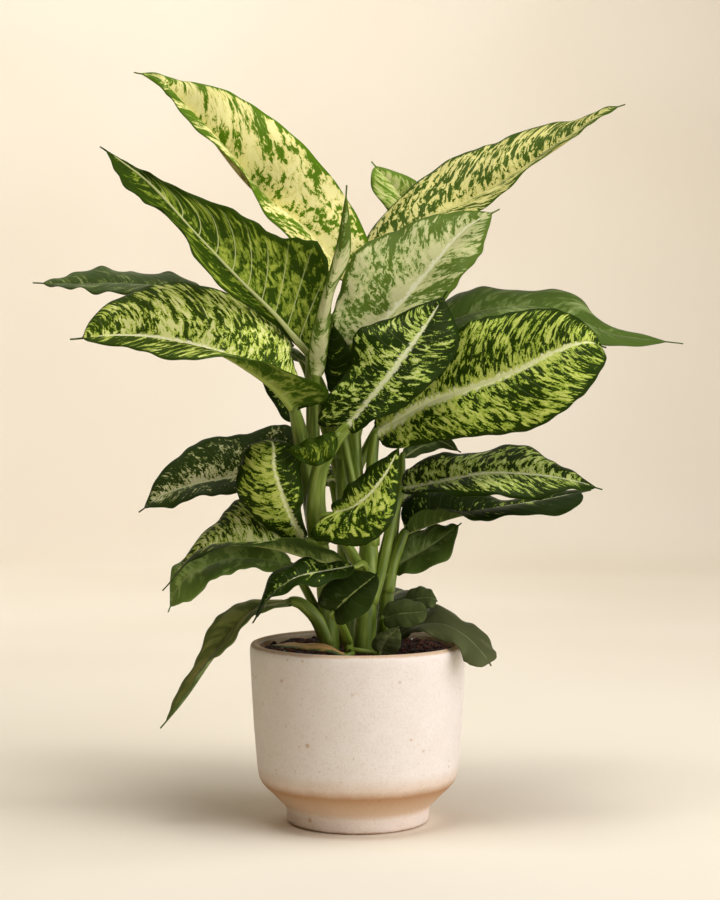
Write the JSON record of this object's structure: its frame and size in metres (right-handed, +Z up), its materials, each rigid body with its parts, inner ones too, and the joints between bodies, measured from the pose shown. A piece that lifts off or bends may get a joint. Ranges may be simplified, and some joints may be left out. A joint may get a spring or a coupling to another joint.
{
  "type": "potted dieffenbachia",
  "caption": "Leafy house plant with broad variegated blades on upright canes, rooted in the soil of a round matte stoneware pot with a stepped foot.",
  "frame": {"origin": "centre of the pot's flat base, on the surface that the pot stands on", "axes": "+Z up along the pot's axis, X to the right and Y away from the side that faces the room"},
  "size_m": [0.6322, 0.3431, 0.7047],
  "materials": {
    "stoneware": "matte fired clay with fine brown specks",
    "potting_soil": "loose dark crumbs of bark and peat",
    "stalk": "smooth green skin, slightly glossy",
    "leaf_green": "satin leaf skin, dark green with a few pale flecks",
    "leaf_lime": "satin leaf skin, lime streaks on dark green",
    "leaf_cream": "satin leaf skin, cream with green blotches"
  },
  "bodies": {
    "root": {"pot": "stoneware", "soil": "potting_soil", "shoot_left": "stalk", "shoot_centre": "stalk", "shoot_right": "stalk", "shoot_back": "stalk", "shoot_front": "stalk", "leaf_top_left": "leaf_cream", "leaf_top_right": "leaf_cream", "leaf_top_back": "leaf_cream", "leaf_spike": "leaf_cream", "leaf_pale_centre": "leaf_cream", "leaf_upper_left": "leaf_green", "leaf_far_left": "leaf_green", "leaf_mid_left": "leaf_lime", "leaf_tucked_left": "leaf_green", "leaf_dark_centre": "leaf_lime", "leaf_centre_small": "leaf_green", "leaf_big_right": "leaf_lime", "leaf_back_right": "leaf_green", "leaf_right_mid": "leaf_green", "leaf_under_right": "leaf_green", "leaf_back_small_right": "leaf_green", "leaf_left_mid": "leaf_green", "leaf_front_oval": "leaf_lime", "leaf_front_centre": "leaf_lime", "leaf_lower_left_a": "leaf_lime", "leaf_lower_left_b": "leaf_green", "leaf_front_left_low": "leaf_green", "leaf_front_dark": "leaf_green", "leaf_right_low": "leaf_green", "leaf_small_round_front": "leaf_green", "leaf_small_round_back": "leaf_green", "leaf_right_drooping": "leaf_green", "leaf_left_drooping": "leaf_green", "leaf_soil_leaf": "leaf_green", "leaf_soil_leaf_right": "leaf_green", "leaf_back_high": "leaf_green", "leaf_back_left_mid": "leaf_green", "leaf_back_right_mid": "leaf_green", "leaf_back_low_left": "leaf_green", "leaf_back_low_right": "leaf_green", "leaf_back_low": "leaf_green", "leaf_back_low_side": "leaf_green", "leaf_tucked_centre": "leaf_green"}
  },
  "joints": []
}
